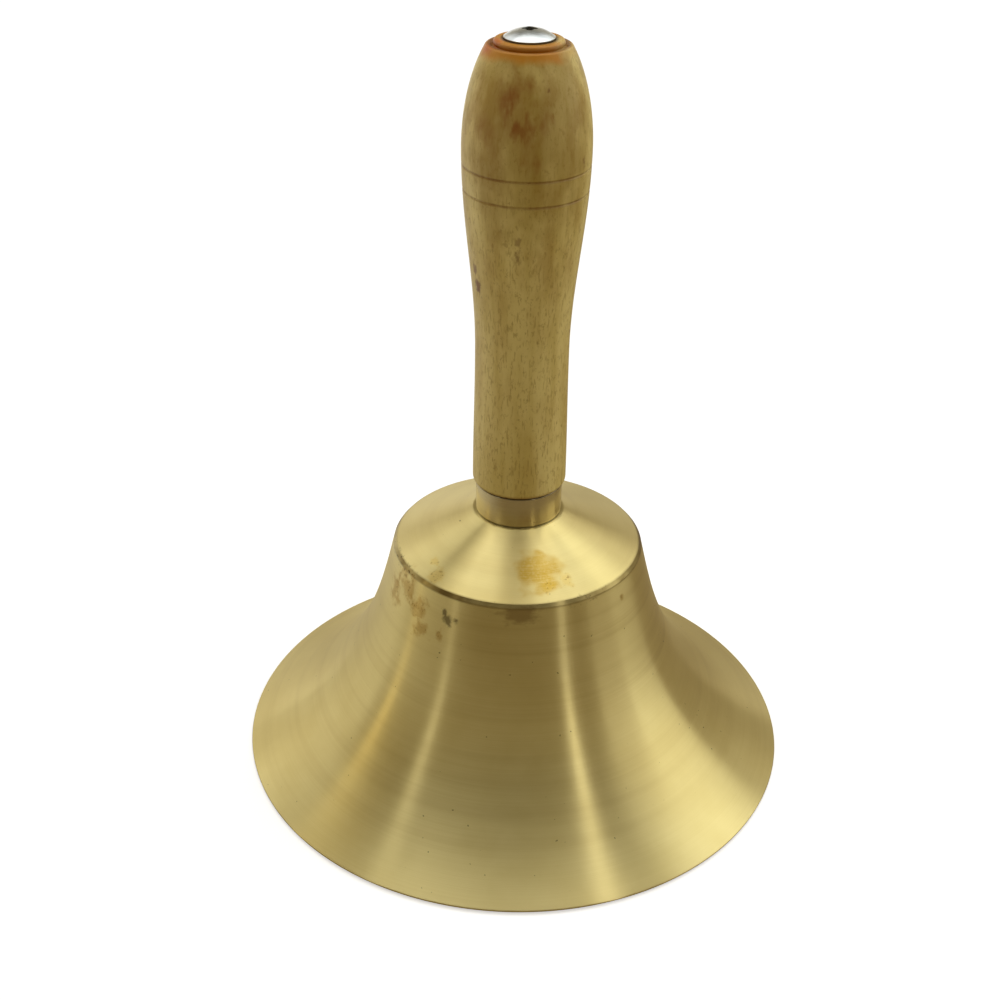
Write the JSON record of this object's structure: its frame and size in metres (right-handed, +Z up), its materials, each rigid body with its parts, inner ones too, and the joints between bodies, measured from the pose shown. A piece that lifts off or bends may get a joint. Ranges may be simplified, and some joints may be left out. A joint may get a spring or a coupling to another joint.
{
  "type": "handbell",
  "caption": "Hand-held brass bell with a flared mouth, a turned wooden handle and a clapper that hangs inside and swings to strike the wall.",
  "frame": {"origin": "on the bell's axis, level with the foot of the lip that the bell stands on", "axes": "+Z up the bell's axis towards the top of the handle; the clapper's pin lies along Y at rest, so the clapper swings in the XZ plane"},
  "size_m": [0.135, 0.135, 0.177],
  "materials": {
    "bell_brass": "satin",
    "collar_brass": "satin",
    "handle_wood": "satin",
    "zinc_steel": "satin",
    "plain_steel": "satin",
    "spring_steel": "satin",
    "spacer_brass": "satin"
  },
  "bodies": {
    "bell": {"bell_shell": "bell_brass", "neck_collar": "collar_brass", "handle": "handle_wood", "tie_screw": "zinc_steel", "crown_washer": "zinc_steel", "crown_lock_washer": "spring_steel", "crown_nut": "zinc_steel", "yoke_washer": "zinc_steel", "yoke_lock_nut": "zinc_steel"},
    "yoke": {"clapper_yoke": "plain_steel", "yoke_pin": "plain_steel", "pin_spacers": "spacer_brass"},
    "clapper": {"clapper_shank": "plain_steel", "clapper_ball": "plain_steel", "clapper_nut": "zinc_steel"}
  },
  "joints": [
    {"name": "yoke_swivel", "type": "hinge", "parent": "bell", "child": "yoke", "pos_m": [0, 0, 0.0555], "axis": [0, 0, 1], "continuous": true},
    {"name": "clapper_swing", "type": "hinge", "parent": "yoke", "child": "clapper", "pos_m": [0, 0, 0.0452], "axis": [0, -1, 0], "range_deg": [-55.3, 55.3]}
  ]
}
